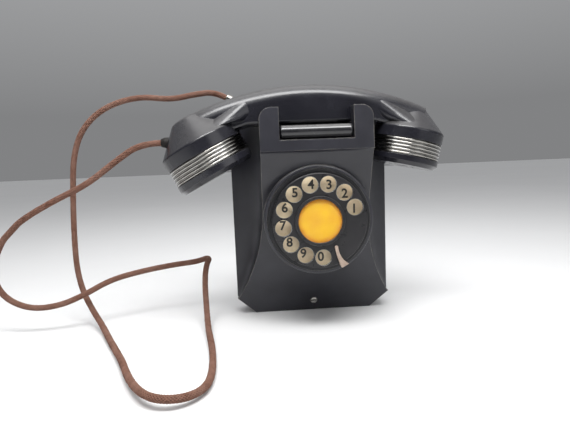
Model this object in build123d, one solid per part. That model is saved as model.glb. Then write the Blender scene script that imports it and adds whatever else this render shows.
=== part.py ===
from build123d import *
import math
import os

# Wall-type rotary telephone. Millimetres.
# +X is the viewer's right, -Y points at the viewer, +Z is up.
# Pieces are drawn from the case's bottom edge upwards and moved to the wall mount when saved.

# Case: outline and walls
case_rear = 45.0
foot_front = 26.0
face_lean = 22.6
flange_half = 69.3
flange_front = 28.0
case_height = 193.0
corner_cut = 16.3
wall = 3.5
edge_round = 1.5

# Case: narrow front column and the scooped flanks
waist_half = 43.6
waist_height = 105.0
foot_flare = 23.8
flare_height = 88.0
flare_power = 2.2
scoop_foot = 16.0
scoop_sag = 0.21
scoop_overrun = 1.0

# Case: head block, prongs and handset trough
crease_height = 145.0
crease_front = -37.0
cove_height = 16.0
cove_depth = 4.5
prong_top = 178.0
prong_top_front = -35.0
prong_back = -24.0
prong_inner = 28.6
prong_round = 9.0
slot_floor = 153.2
trough_rear = 9.0

# Back plate and fasteners
plate_thickness = 3.0
wall_hole_radius = 2.75
wall_hole_x = 110.0
wall_hole_z = 130.0
wall_hole_low = 30.0
lug_half = 6.0
lug_length = 8.0
lug_x = 40.0
screw_height = 10.0
screw_sink = 1.2
screw_radius = 2.0
screw_head_radius = 3.2
screw_head_height = 2.0
screw_slot = 0.9
strap_half = 7.0
strap = 2.0
strap_rise = 16.0
fit = 0.05
clearance = 0.3

# Dial
dial_height = 90.8
boss_front = -31.2
boss_wall = 2.7
boss_round = 1.2
well_gap = 3.3
well_depth = 7.0
mechanism_hole = 32.0
cup_wall = 1.9
cup_floor = 2.0
cup_rise = 1.5
ledge_width = 3.0
plate_margin = 1.2
plate_rise = 0.4
enamel_thickness = 0.9
wheel_edge = 1.9
wheel_rise = 4.6
wheel_thickness = 2.0
wheel_bead = 1.0
finger_hole = 6.3
finger_pitch = 28.8
finger_count = 10
finger_step = 28.26
first_finger = 19.2
card_radius = 17.7
card_thickness = 0.4
window_thickness = 0.6
ring_wall = 1.6
ring_height = 2.2
hub_radius = 9.0
hub_plate = 18.8
stop_thickness = 1.6
stop_gap = 1.0

# Dial mechanism
shaft_radius = 3.0
gear_module = 0.6
main_teeth = 60
pinion_teeth = 12
gear_width = 2.5
gear_backlash = 0.25
pinion_shaft = 1.5
bridge_thickness = 2.0
pillar_radius = 2.5
governor_radius = 7.0
governor_height = 4.0
governor_wall = 1.2
barrel_radius = 11.0
barrel_height = 3.5
works_gap = 0.8

# Hook
bar_radius = 5.2
bar_front = -30.0
bar_height = 159.3
bar_clearance = 0.8
web_thickness = 3.0
web_rear = -7.0
blade_half = 14.0
blade_depth = 5.0
arm_half = 18.0
arm_thickness = 2.0
arm_width = 9.0
pivot_y = 20.0
pivot_z = 135.0
pivot_radius = 2.0
ear_thickness = 2.0
switch_half = 8.0
switch_depth = 9.0
switch_high = 8.0
leaf_count = 3
leaf_pitch = 3.0
leaf_reach = 9.0
leaf = 0.6

# Handset
handset_y = -8.0
handset_x = -3.0
grip_top = 197.3
grip_top_radius = 225.0
grip_height = 30.6
grip_depth = 28.5
grip_round = 11.5
grip_edge = 2.5
grip_bend = 20.0
grip_left = -51.0
grip_right = 47.0
grip_left_angle = 27.0
grip_right_angle = 25.0
shoulder_left = -50.0
shoulder_right = 50.0
shoulder_level = 3.0
shoulder_inset = 0.4
mouth_x = -92.1
mouth_z = 154.7
mouth_tilt = 27.8
mouth_radius = 33.0
mouth_neck = 11.5
mouth_collar = 9.7
mouth_cap_height = 8.0
ear_x = 79.9
ear_z = 158.4
ear_tilt = 13.1
ear_radius = 28.0
ear_neck = 8.0
ear_collar = 8.5
ear_cap_height = 7.2
bell_wall = 3.0
bell_edge = 2.5
band_height = 13.2
band_thickness = 3.2
bead_count = 5
bead_radius = 0.9
cap_bevel = 3.0
cap_floor = 2.5
capsule_inset = 1.0
capsule_height = 9.0
sound_hole = 1.5
sound_ring = 10.0
sound_count = 8

# Ringer and circuit pieces
gong_radius = 20.0
gong_flat = 0.55
gong_height = 11.0
gong_wall = 1.5
gong_x = 26.0
gong_z = 32.0
gong_front = 21.0
post_radius = 3.0
clapper_ball = 3.2
clapper_rod = 1.0
clapper_pin = 1.2
clapper_pivot_z = 60.0
clapper_y = 29.0
clapper_swing = 4.0
coil_radius = 8.0
coil_length = 24.0
coil_x = 11.0
coil_base = 66.0
yoke_thickness = 3.0
condenser_size = (30.0, 16.0, 32.0)
condenser_place = (42.0, 78.0)
induction_radius = 9.0
induction_length = 30.0
induction_place = (-38.0, 78.0)
coil_cheek = 2.0
terminal_size = (54.0, 9.0, 20.0)
terminal_below = 16.0
terminal_above = 9.5
terminal_count = 4
terminal_pitch = 12.0

# Cord
cord_diameter = 5.2
bush_radius = 4.2
bush_tip = 3.2
bush_length = 3.0
bush_inset = 6.0
bush_stand = 3.4
bush_seat = 4.0
bush_lift = 1.0
ferrule_radius = 4.2
ferrule_length = 15.0
ferrule_bite = 1.0
ferrule_rise = 30.0
ferrule_shift = 3.15
ferrule_seat = 1.2
cord_exit_y = 37.0

wheel_radius = finger_pitch + finger_hole + wheel_edge
plate_radius = wheel_radius - plate_margin
well_radius = wheel_radius + well_gap
boss_radius = well_radius + boss_wall
face_slope = math.tan(math.radians(face_lean))
wall_level = wall / math.cos(math.radians(face_lean))
mount_y = case_rear + plate_thickness
mount_z = wall_hole_low + wall_hole_z / 2
span = flange_half + wall
front_limit = crease_front - 4 * wall


def face_y(z):
    """Depth of the leaning front face at a height; the face recedes towards the foot."""
    return foot_front - z * face_slope


def extruded(points, plane, near, far):
    """A closed outline of straight sides, extruded between two distances along a plane's normal."""
    face = make_face(Polyline(*points, close=True))
    return extrude(plane.offset(near) * face, far - near)


def box_between(low, high):
    """An upright box between two corners."""
    size = [high[i] - low[i] for i in range(3)]
    middle = [(high[i] + low[i]) / 2 for i in range(3)]
    return Pos(*middle) * Box(*size)


def rod(start, end, radius):
    """A round rod between two points."""
    line = Vector(*end) - Vector(*start)
    plane = Plane(origin=start, z_dir=line)
    return plane * Cylinder(radius, line.length, align=(Align.CENTER, Align.CENTER, Align.MIN))


def disc(radius, low, high):
    """A round disc about the local Z axis."""
    return Pos(0, 0, low) * Cylinder(radius, high - low, align=(Align.CENTER, Align.CENTER, Align.MIN))


def ring(outer, inner, low, high):
    """A flat ring about the local Z axis."""
    return disc(outer, low, high) - disc(inner, low - 1, high + 1)


def save(shape, name):
    """Writes one piece, or a group of alike pieces, with the origin moved to the wall mount."""
    placed = Pos(0, -mount_y, -mount_z) * shape
    placed.label = name
    export_step(placed, f"parts/{name}.step")


os.makedirs("parts", exist_ok=True)

# Side view: local x is +Y and local y is +Z; front view: local x is +X and local y is +Z
side_plane = Plane(origin=(0, 0, 0), x_dir=(0, 1, 0), z_dir=(1, 0, 0))
front_plane = Plane(origin=(0, 0, 0), x_dir=(1, 0, 0), z_dir=(0, -1, 0))
dial_plane = Plane(origin=(0, boss_front, dial_height), x_dir=(1, 0, 0), z_dir=(0, -1, 0))


def column_half(z):
    """Half-width of the front column: flared towards the foot, narrow from the waist up."""
    low = max(0.0, waist_height - z) / flare_height
    return waist_half + foot_flare * low ** flare_power


def scoop_section(z, inset):
    """One level section of the space beside the column, bounded by the concave flank."""
    front = (column_half(z) - inset, face_y(min(z, crease_height - cove_height)))
    rear = (flange_half + scoop_overrun - inset, flange_front + inset)
    across = (rear[0] - front[0], rear[1] - front[1])
    middle = (
        (front[0] + rear[0]) / 2 - scoop_sag * across[1],
        (front[1] + rear[1]) / 2 + scoop_sag * across[0],
    )
    far_x = flange_half + 3 * wall
    sides = Polyline(rear, (far_x, rear[1]), (far_x, front_limit), (front[0], front_limit), front)
    flank = ThreePointArc(front, middle, rear)
    return Pos(0, 0, z) * make_face(Wire([flank.edge()] + list(sides.edges())))


def flank_scoop(inset):
    """The scoop that is taken out of the right flank."""
    head = crease_height - cove_height
    levels = [scoop_foot + (waist_height - scoop_foot) * step / 5 for step in range(6)]
    levels += [head, case_height + wall]
    lower = loft([scoop_section(z, inset) for z in levels[:7]])
    upper = extrude(scoop_section(head, inset), levels[7] - head)
    return lower + upper


def flange_face(inset):
    """Front view of the case's outline with its four cut corners."""
    half = flange_half - inset
    low = inset
    high = case_height - inset
    cut = corner_cut - inset * (2 - math.sqrt(2))
    right = [(half - cut, low), (half, low + cut), (half, high - cut), (half - cut, high)]
    left = [(-x, z) for x, z in reversed(right)]
    return make_face(Polyline(*right, *left, close=True))


def case_hull(inset):
    """Plain outer block of the case, from its rear edge to well in front of it."""
    return extrude(front_plane.offset(-case_rear) * flange_face(inset), case_rear - front_limit)


def side_outline():
    """Side view of the case: leaning face, cove, head block, prong top and flange."""
    cove_low = crease_height - cove_height
    lines = [
        Polyline((case_rear, 0), (foot_front, 0), (face_y(cove_low), cove_low)),
        Spline(
            (face_y(cove_low), cove_low),
            (crease_front + cove_depth, crease_height - cove_height / 3),
            (crease_front, crease_height),
            tangents=((-face_slope, 1), (-1, 0.25)),
        ),
        Polyline(
            (crease_front, crease_height),
            (prong_top_front, prong_top),
            (trough_rear, prong_top),
            (trough_rear, case_height),
            (case_rear, case_height),
            (case_rear, 0),
        ),
    ]
    return make_face(Wire([edge for line in lines for edge in line.edges()]))


# Case shell: moulded form with a round boss for the dial, hollow from behind
case_form = extrude(side_plane.offset(-span) * side_outline(), 2 * span)
scoop = flank_scoop(0)
case_shell = (case_hull(0) & case_form) - scoop - mirror(scoop, about=Plane.YZ)
boss_depth = face_y(dial_height - boss_radius) - boss_front
boss = disc(boss_radius, -boss_depth, 0)
boss = fillet(boss.edges().group_by(Axis.Z)[-1], boss_round)
case_shell += dial_plane * boss

corner_x = waist_half - prong_round
corner_z = prong_top - prong_round
corner = Rectangle(2 * prong_round, 2 * prong_round, align=(Align.MIN, Align.MIN)) - Circle(prong_round)
corner = extrude(front_plane * Pos(corner_x, corner_z) * corner, -front_limit)
case_shell = case_shell - corner - mirror(corner, about=Plane.YZ)
case_shell -= box_between((-prong_inner, front_limit, slot_floor), (prong_inner, trough_rear, case_height))

# The trough's floor lies under the straight underside of the handset's grip
grip_low = grip_top - grip_height
case_shell -= box_between((-span, prong_back, grip_low - clearance), (span, trough_rear, case_height))

cavity_top = slot_floor - wall
cavity_bend = crease_height - cove_height - wall
cavity_front = face_y(cavity_bend) + wall_level
cavity_outline = [
    (case_rear, wall),
    (face_y(wall) + wall_level, wall),
    (cavity_front, cavity_bend),
    (cavity_front, cavity_top),
    (trough_rear + wall, cavity_top),
    (trough_rear + wall, case_height - wall),
    (case_rear, case_height - wall),
]
cavity = case_hull(wall) & extruded(cavity_outline, side_plane, -span, span)
inner_scoop = flank_scoop(wall)
cavity = cavity - inner_scoop - mirror(inner_scoop, about=Plane.YZ)
well_floor = well_depth + wall
cavity -= dial_plane * disc(well_radius + wall, -well_floor, -front_limit)
cavity += dial_plane * disc(boss_radius - wall, -boss_depth - wall, -well_floor)
case_shell -= cavity
case_shell -= dial_plane * disc(well_radius, -well_depth, -front_limit)
case_shell -= dial_plane * disc(mechanism_hole, -well_floor - 1, 0)

# Openings in the shell for the hook arms, the foot screw and the cord ferrule
arm_gap = arm_thickness + 2 * bar_clearance
for side in (-1, 1):
    low = (side * arm_half - arm_gap / 2, -2 * arm_width, cavity_top - wall)
    high = (side * arm_half + arm_gap / 2, trough_rear + wall, slot_floor)
    case_shell -= box_between(low, high)
screw_seat = face_y(screw_height) + screw_sink
screw_plane = Plane(origin=(0, screw_seat, screw_height), x_dir=(1, 0, 0), z_dir=(0, -1, 0))
case_shell -= screw_plane * disc(screw_radius + clearance, -2 * wall, wall)
case_shell -= screw_plane * disc(screw_head_radius + clearance, 0, 2 * wall)
ferrule_x = corner_cut / 2 - flange_half + ferrule_shift
ferrule_z = case_height - corner_cut / 2 + ferrule_shift
ferrule_line = (-math.cos(math.radians(ferrule_rise)), 0, math.sin(math.radians(ferrule_rise)))
ferrule_plane = Plane(origin=(ferrule_x, cord_exit_y, ferrule_z), x_dir=(0, 1, 0), z_dir=ferrule_line)
ferrule_shank = ferrule_radius - ferrule_bite
case_shell -= ferrule_plane * disc(ferrule_shank + fit, -2 * wall, wall)
case_shell -= ferrule_plane * disc(ferrule_radius + fit, -ferrule_seat, wall)
save(case_shell, "case_shell")

# Back plate with top lugs that hook under the case, and its four wall holes
plate_plane = front_plane.offset(-case_rear)
back_plate = extrude(plate_plane * flange_face(0), -plate_thickness)
lug_top = case_height - wall - clearance
for side in (-1, 1):
    low = (side * lug_x - lug_half, case_rear - lug_length, lug_top - plate_thickness)
    back_plate += box_between(low, (side * lug_x + lug_half, case_rear, lug_top))
for x in (-wall_hole_x / 2, wall_hole_x / 2):
    for z in (wall_hole_low, wall_hole_low + wall_hole_z):
        back_plate -= plate_plane * Pos(x, z) * disc(wall_hole_radius, -2 * plate_thickness, plate_thickness)
save(back_plate, "back_plate")

# Foot bracket: a strap along the floor, turned up behind the face to take the foot screw
strap_low = wall + clearance
strap_end = face_y(strap_low) + wall_level
strap_top = face_y(strap_rise) + wall_level
strap_outline = [
    (case_rear, strap_low),
    (strap_end, strap_low),
    (strap_top, strap_rise),
    (strap_top + 2 * strap, strap_rise),
    (strap_end + 2 * strap, strap_low + strap),
    (case_rear, strap_low + strap),
]
foot_bracket = extruded(strap_outline, side_plane, -strap_half, strap_half)
foot_bracket -= screw_plane * disc(screw_radius + fit, -4 * wall, 0)
save(foot_bracket, "foot_bracket")

screw_head = disc(screw_head_radius, 0, screw_head_height)
screw_head = fillet(screw_head.edges().group_by(Axis.Z)[-1], screw_head_height / 2)
screw_head -= Pos(0, 0, screw_head_height) * Box(3 * screw_head_radius, screw_slot, screw_head_height)
foot_screw = screw_plane * (screw_head + disc(screw_radius, -wall_level - 3 * strap, 0))
save(foot_screw, "foot_screw")

# Dial cup, set into the well, with a ledge for the number plate and a floor that carries the works
cup_outer = well_radius - clearance
cup_inner = cup_outer - cup_wall
floor_low = -well_depth
floor_high = floor_low + cup_floor
works_radius = mechanism_hole - clearance
dial_cup = ring(cup_outer, cup_inner, floor_low, cup_rise) + disc(cup_outer, floor_low, floor_high)
plate_top = plate_rise + enamel_thickness
dial_cup += ring(cup_inner, plate_radius + clearance, floor_low, plate_top)
dial_cup += ring(cup_inner, plate_radius - ledge_width, floor_low, plate_rise)
dial_cup -= disc(shaft_radius + fit, floor_low - 1, floor_high + 1)
main_pitch = gear_module * main_teeth / 2
pinion_pitch = gear_module * pinion_teeth / 2
pinion_place = Pos(0, main_pitch + pinion_pitch)
dial_cup -= pinion_place * disc(pinion_shaft + fit, floor_low - 1, floor_high + 1)
save(dial_plane * dial_cup, "dial_cup")

number_plate = ring(plate_radius, shaft_radius + clearance, plate_rise, plate_top)
save(dial_plane * number_plate, "number_plate")

# Finger wheel with ten finger holes
wheel_top = wheel_rise + wheel_thickness
finger_wheel = disc(wheel_radius, wheel_rise, wheel_top)
finger_wheel = fillet(finger_wheel.edges().group_by(Axis.Z)[-1], wheel_bead)
finger_wheel -= disc(hub_plate + fit, wheel_rise - 1, wheel_top + 1)
for i in range(finger_count):
    angle = math.radians(first_finger + i * finger_step)
    place = Pos(finger_pitch * math.cos(angle), finger_pitch * math.sin(angle))
    finger_wheel -= place * disc(finger_hole, wheel_rise - 1, wheel_top + 1)
save(dial_plane * finger_wheel, "finger_wheel")

# Wheel hub: the round plate under the card, which carries the finger wheel on the shaft
hub_low = plate_top + clearance
wheel_hub = disc(hub_plate, wheel_rise, wheel_top) + disc(hub_radius, hub_low, wheel_rise)
wheel_hub -= disc(shaft_radius + fit, hub_low - 1, wheel_top + 1)
save(dial_plane * wheel_hub, "wheel_hub")

card_ring = ring(card_radius + ring_wall, card_radius - ring_wall / 2, wheel_top, wheel_top + ring_height)
card_ring -= disc(card_radius + fit, wheel_top - 1, wheel_top + card_thickness + window_thickness)
card_ring = fillet(card_ring.edges().group_by(Axis.Z)[-1], ring_wall / 4)
save(dial_plane * card_ring, "card_ring")
card_top = wheel_top + card_thickness
number_card = disc(card_radius, wheel_top, card_top)
save(dial_plane * number_card, "number_card")
card_window = disc(card_radius, card_top + fit, card_top + window_thickness)
save(dial_plane * card_window, "card_window")

# Finger stop: a narrow horn over the wheel that widens to a foot on the cup's rim
stop_low = wheel_top + stop_gap
stop_high = stop_low + stop_thickness
stop_foot = [(22.6, -35.0), (16.4, -38.8)]
stop_end = [(10.5, -20.8), (11.6, -19.4), (13.0, -20.6)]
stop_bows = [(12.6, -29.6), (15.6, -28.6)]
horn = [
    Line(stop_foot[0], stop_foot[1]),
    ThreePointArc(stop_foot[1], stop_bows[0], stop_end[0]),
    ThreePointArc(*stop_end),
    ThreePointArc(stop_end[2], stop_bows[1], stop_foot[0]),
]
horn_face = make_face(Wire([line.edge() for line in horn]))
finger_stop = Pos(0, 0, stop_low) * extrude(horn_face, stop_thickness) & disc(cup_outer, stop_low, stop_high)
stop_leg = Pos(0, 0, cup_rise) * extrude(horn_face, stop_low - cup_rise)
finger_stop += stop_leg & ring(cup_outer, wheel_radius + 2 * clearance, cup_rise, stop_low)
save(dial_plane * finger_stop, "finger_stop")

# Dial works behind the cup: spring barrel, gear train, governor and the bridge that carries them
barrel_high = floor_low - works_gap
barrel_low = barrel_high - barrel_height
gear_high = barrel_low - works_gap
gear_low = gear_high - gear_width
governor_high = gear_low - works_gap
governor_low = governor_high - governor_height
bridge_high = governor_low - works_gap
bridge_low = bridge_high - bridge_thickness


def gear_outline(teeth):
    """Outline of a spur gear with straight-flanked teeth; one tooth points along +X."""
    pitch = gear_module * teeth / 2
    half_pitch = math.pi * gear_module / 4 - gear_backlash / 2
    stations = (
        (pitch - 1.25 * gear_module, 1.45 * half_pitch),
        (pitch, half_pitch),
        (pitch + 0.9 * gear_module, 0.4 * half_pitch),
    )
    points = []
    for tooth in range(teeth):
        middle = 2 * math.pi * tooth / teeth
        flank = [(r, middle - half / r) for r, half in stations]
        flank += [(r, middle + half / r) for r, half in reversed(stations)]
        points += [(r * math.cos(a), r * math.sin(a)) for r, a in flank]
    return make_face(Polyline(*points, close=True))


dial_shaft = disc(shaft_radius, bridge_low, wheel_top)
save(dial_plane * dial_shaft, "dial_shaft")
spring_barrel = ring(barrel_radius, shaft_radius + fit, barrel_low, barrel_high)
save(dial_plane * spring_barrel, "spring_barrel")

main_gear = Pos(0, 0, gear_low) * extrude(gear_outline(main_teeth), gear_width)
main_gear -= disc(shaft_radius + fit, gear_low - 1, gear_high + 1)
save(dial_plane * main_gear, "main_gear")

pinion_turn = 180.0 / pinion_teeth
governor = Rot(0, 0, pinion_turn) * Pos(0, 0, gear_low) * extrude(gear_outline(pinion_teeth), gear_width)
governor += disc(pinion_shaft, bridge_low, floor_high)
governor += disc(governor_radius, governor_low, governor_high)
drum_floor = governor_low + governor_height / 2
governor -= ring(governor_radius - governor_wall, 2 * pinion_shaft, governor_low, drum_floor)
save(dial_plane * pinion_place * governor, "governor")

pillar_pitch = works_radius - pillar_radius - works_gap
pillar_angles = (30.0, 150.0, 270.0)
works_bridge = disc(works_radius, bridge_low, bridge_high)
for angle in pillar_angles:
    works_bridge += Rot(0, 0, angle) * Pos(pillar_pitch, 0) * disc(pillar_radius, bridge_low, floor_low)
works_bridge -= disc(shaft_radius + fit, bridge_low - 1, bridge_high + 1)
works_bridge -= pinion_place * disc(pinion_shaft + fit, bridge_low - 1, bridge_high + 1)
save(dial_plane * works_bridge, "works_bridge")

# Hook: a round bar between the prongs, a web and blade under the grip, and two arms to the pivot
bar_half = prong_inner - bar_clearance
bar_top = bar_height + bar_radius
web_low = bar_top - web_thickness
blade_front = web_rear - blade_depth
blade_top = grip_low - clearance
hook_lever = rod((-bar_half, bar_front, bar_height), (bar_half, bar_front, bar_height), bar_radius)
hook_lever = fillet(hook_lever.edges(), edge_round)
web_half = arm_half + arm_thickness / 2
hook_lever += box_between((-web_half, bar_front, web_low), (web_half, web_rear, bar_top))
hook_lever += box_between((-blade_half, blade_front, web_low), (blade_half, web_rear, blade_top))
arm_start = (blade_front, bar_top - arm_width / 2)
arm_rise = pivot_z - arm_start[1]
arm_run = pivot_y - arm_start[0]
arm_middle = Pos(arm_start[0] + arm_run / 2, arm_start[1] + arm_rise / 2)
arm_tilt = Rot(0, 0, math.degrees(math.atan2(arm_rise, arm_run)))
arm_face = arm_middle * arm_tilt * SlotCenterToCenter(math.hypot(arm_run, arm_rise), arm_width)
arm_face -= Pos(pivot_y, pivot_z) * Circle(pivot_radius + fit)
for side in (-1, 1):
    hook_lever += extrude(side_plane.offset(side * arm_half - arm_thickness / 2) * arm_face, arm_thickness)
save(hook_lever, "hook_lever")

ear_inner = arm_half + arm_thickness / 2 + clearance
ear_outer = ear_inner + ear_thickness
bracket_low = (-ear_outer, case_rear - ear_thickness, pivot_z - arm_width)
hook_bracket = box_between(bracket_low, (ear_outer, case_rear, pivot_z + arm_width))
for side in (-1, 1):
    middle = side * (ear_inner + ear_outer) / 2
    low = (middle - ear_thickness / 2, pivot_y - arm_width / 2, pivot_z - arm_width / 2)
    high = (middle + ear_thickness / 2, case_rear - ear_thickness, pivot_z + arm_width / 2)
    hook_bracket += box_between(low, high)
pin_half = ear_outer + ear_thickness
pin_ends = ((-pin_half, pivot_y, pivot_z), (pin_half, pivot_y, pivot_z))
hook_bracket -= rod(*pin_ends, pivot_radius + fit)
save(hook_bracket, "hook_bracket")
save(rod(*pin_ends, pivot_radius), "hook_pin")

switch_rear = case_rear - ear_thickness
switch_front = switch_rear - switch_depth
switch_low = (-switch_half, switch_front, pivot_z - switch_high)
hook_switch = box_between(switch_low, (switch_half, switch_rear, pivot_z + switch_high))
for level in range(leaf_count):
    z = pivot_z + (level - (leaf_count - 1) / 2) * leaf_pitch
    low = (-switch_half / 2, switch_front - leaf_reach, z)
    hook_switch += box_between(low, (switch_half / 2, switch_rear, z + leaf))
save(hook_switch, "hook_switch")

# Handset: a grip with an arched, rounded back and a straight underside, ending in two conical bells
grip_centre = grip_top - grip_top_radius


def grip_end(angle):
    """Where the arched back ends, at an angle to either side of its middle."""
    turn = math.radians(angle)
    return (handset_x + grip_top_radius * math.sin(turn), grip_centre + grip_top_radius * math.cos(turn))


grip_back = ThreePointArc(grip_end(-grip_left_angle), (handset_x, grip_top), grip_end(grip_right_angle))
grip_front = Polyline(
    grip_end(grip_right_angle),
    (ear_x, ear_z),
    (grip_right, grip_low),
    (grip_left, grip_low),
    (mouth_x, mouth_z),
    grip_end(-grip_left_angle),
)
grip_face = make_face(Wire([grip_back.edge()] + list(grip_front.edges())))
bends = [grip_face.vertices().sort_by_distance((x, grip_low))[0] for x in (grip_left, grip_right)]
grip_face = fillet(bends, grip_bend)
handset_grip = extrude(front_plane.offset(-handset_y - grip_depth / 2) * grip_face, grip_depth)
back_edges = [edge for edge in handset_grip.edges().filter_by(GeomType.CIRCLE) if edge.radius > grip_bend]
handset_grip = fillet(back_edges, grip_round)
handset_grip = fillet(handset_grip.edges().filter_by(Axis.X), grip_edge)


def rim_plane(x, z, tilt):
    """Plane across a bell's rim; its normal points out of the bell's mouth."""
    angle = math.radians(tilt)
    return Plane(origin=(x, handset_y, z), x_dir=(0, 1, 0), z_dir=(math.sin(angle), 0, -math.cos(angle)))


def bell(radius, neck, collar):
    """Conical bell with a rounded shoulder and edge; its straight collar starts at local z = 0."""
    rise = radius - neck
    outline = [(0, collar), (radius, collar), (radius, 0), (neck, -rise), (0, -rise)]
    face = make_face(Polyline(*outline, close=True))
    face = fillet(face.vertices().sort_by_distance((neck, -rise))[0], neck / 2)
    face = fillet(face.vertices().sort_by_distance((radius, 0))[0], bell_edge)
    return revolve(Plane.XZ * face, axis=Axis.Z)


def bell_hollow(radius, neck, collar):
    """Space inside a bell, open at its rim."""
    inner = radius - band_thickness
    rise = radius - neck - 2 * bell_wall
    outline = [(0, collar + 1), (inner, collar + 1), (inner, 0), (inner - rise, -rise), (0, -rise)]
    return revolve(Plane.XZ * make_face(Polyline(*outline, close=True)), axis=Axis.Z)


def shoulder(x, plane, radius):
    """Soft shoulder that leads from the grip's section at x into a bell's cone."""
    turn = math.asin((x - handset_x) / grip_top_radius)
    top = grip_centre + grip_top_radius * math.cos(turn)
    section = Rectangle(grip_depth - 2 * shoulder_inset, top - grip_low - 2 * shoulder_inset)
    section = fillet(section.vertices(), grip_round - shoulder_inset)
    outward = (math.copysign(math.cos(turn), x), 0, -abs(math.sin(turn)))
    start = Plane(origin=(x, handset_y, (top + grip_low) / 2), x_dir=(0, 1, 0), z_dir=outward)
    end = plane.offset(-shoulder_level) * Circle(radius - shoulder_level - shoulder_inset)
    return loft([start * section, end])


mouth_plane = rim_plane(mouth_x, mouth_z, mouth_tilt)
ear_plane = rim_plane(ear_x, ear_z, -ear_tilt)
mouth_rim = mouth_plane.offset(mouth_collar)
ear_rim = ear_plane.offset(ear_collar)
mouth_bell = (mouth_plane, mouth_radius, mouth_neck, mouth_collar)
ear_bell = (ear_plane, ear_radius, ear_neck, ear_collar)
for plane, *sizes in (mouth_bell, ear_bell):
    handset_grip += plane * bell(*sizes)
handset_grip += shoulder(shoulder_left, mouth_plane, mouth_radius)
handset_grip += shoulder(shoulder_right, ear_plane, ear_radius)
for plane, *sizes in (mouth_bell, ear_bell):
    handset_grip -= plane * bell_hollow(*sizes)

# Cord bush in the side of the mouthpiece bell
bush_x = mouth_x - mouth_radius * math.cos(math.radians(mouth_tilt)) + bush_inset
bush_z = mouth_z + bush_lift
bush_plane = Plane(origin=(bush_x, handset_y, bush_z), x_dir=(0, 1, 0), z_dir=(-1, 0, 0))
handset_grip -= bush_plane * disc(bush_radius + fit, -2 * bush_seat, 2 * bush_seat)
save(handset_grip, "handset_grip")
bush_cone = Cone(bush_radius, bush_tip, bush_length, align=(Align.CENTER, Align.CENTER, Align.MIN))
cord_bush = disc(bush_radius, -bush_seat, bush_stand) + Pos(0, 0, bush_stand) * bush_cone
save(bush_plane * cord_bush, "cord_bush")


def beaded_band(radius):
    """Ring with raised beads round its outside."""
    inner = radius - band_thickness
    base = radius - bead_radius
    step = band_height / bead_count
    rise = step / 2 - bead_radius
    edges = list(Polyline((base, 0), (inner, 0), (inner, band_height), (base, band_height)).edges())
    for bead in range(bead_count):
        top = band_height - bead * step
        low = top - step
        edges.append(Line((base, top), (base, top - rise)).edge())
        edges.append(ThreePointArc((base, top - rise), (radius, top - step / 2), (base, low + rise)).edge())
        edges.append(Line((base, low + rise), (base, low)).edge())
    return revolve(Plane.XZ * make_face(Wire(edges)), axis=Axis.Z)


def screw_cap(radius, height, centre_hole):
    """Cap under the band, bevelled at its rim, with a ring of sound holes."""
    high = band_height + height
    cap = disc(radius, band_height, high)
    cap = chamfer(cap.edges().group_by(Axis.Z)[-1], cap_bevel)
    cap -= disc(radius - band_thickness, band_height - 1, high - cap_floor)
    cap -= disc(centre_hole, band_height, high + 1)
    for i in range(sound_count):
        place = Rot(0, 0, i * 360 / sound_count) * Pos(sound_ring, 0)
        cap -= place * disc(sound_hole, band_height, high + 1)
    return cap


def capsule(radius, height):
    """Sound capsule that lies on the cap's floor, inside the band."""
    high = band_height + height - cap_floor
    outer = radius - band_thickness - capsule_inset
    return disc(outer, high - capsule_height, high) - disc(outer / 2, high - capsule_height / 2, high + 1)


save(mouth_rim * beaded_band(mouth_radius), "mouthpiece_band")
save(ear_rim * beaded_band(ear_radius), "earpiece_band")
save(mouth_rim * screw_cap(mouth_radius, mouth_cap_height, sound_hole), "mouthpiece_cap")
save(ear_rim * screw_cap(ear_radius, ear_cap_height, 2 * sound_hole), "earpiece_cap")
save(mouth_rim * capsule(mouth_radius, mouth_cap_height), "transmitter_capsule")
save(ear_rim * capsule(ear_radius, ear_cap_height), "receiver_capsule")

# Ringer: frame on the back plate, two coils, two gongs on posts, and a clapper that swings between them
coil_top = coil_base + coil_length
frame_rear = case_rear - yoke_thickness
frame_high = coil_top + yoke_thickness
ringer_half = coil_x + coil_radius
coil_y = frame_rear - coil_radius - works_gap
frame_low = (-ringer_half, frame_rear, clapper_pivot_z - yoke_thickness)
ringer_frame = box_between(frame_low, (ringer_half, case_rear, frame_high))
yoke_low = (-ringer_half, coil_y - coil_radius, coil_top)
ringer_frame += box_between(yoke_low, (ringer_half, case_rear, frame_high))
pin_front = clapper_y - 2 * clapper_ball
ringer_frame += rod((0, pin_front, clapper_pivot_z), (0, case_rear, clapper_pivot_z), clapper_pin)
save(ringer_frame, "ringer_frame")

ringer_coils = []
for x in (-coil_x, coil_x):
    ringer_coils.append(rod((x, coil_y, coil_base), (x, coil_y, coil_top), coil_radius))
save(Compound(children=ringer_coils), "ringer_coils")


def gong(x):
    """Domed bell, closed at the front and open to the rear."""
    flat = gong_radius * gong_flat
    floor = 2 * gong_wall
    top = Line((0, 0), (flat, 0))
    dome = RadiusArc((flat, 0), (gong_radius, gong_height), 1.4 * gong_height)
    rim = (gong_radius - gong_wall, gong_height)
    inside = Polyline((gong_radius, gong_height), rim, (flat - gong_wall, floor), (0, floor), (0, 0))
    face = make_face(Wire([top.edge(), dome.edge()] + list(inside.edges())))
    place = Plane(origin=(x, gong_front, gong_z), x_dir=(1, 0, 0), z_dir=(0, 1, 0))
    return place * revolve(Plane.XZ * face, axis=Axis.Z)


save(gong(-gong_x), "left_gong")
save(gong(gong_x), "right_gong")
post_front = gong_front + 2 * gong_wall
gong_posts = []
for x in (-gong_x, gong_x):
    gong_posts.append(rod((x, post_front, gong_z), (x, case_rear, gong_z), post_radius))
save(Compound(children=gong_posts), "gong_posts")

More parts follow.
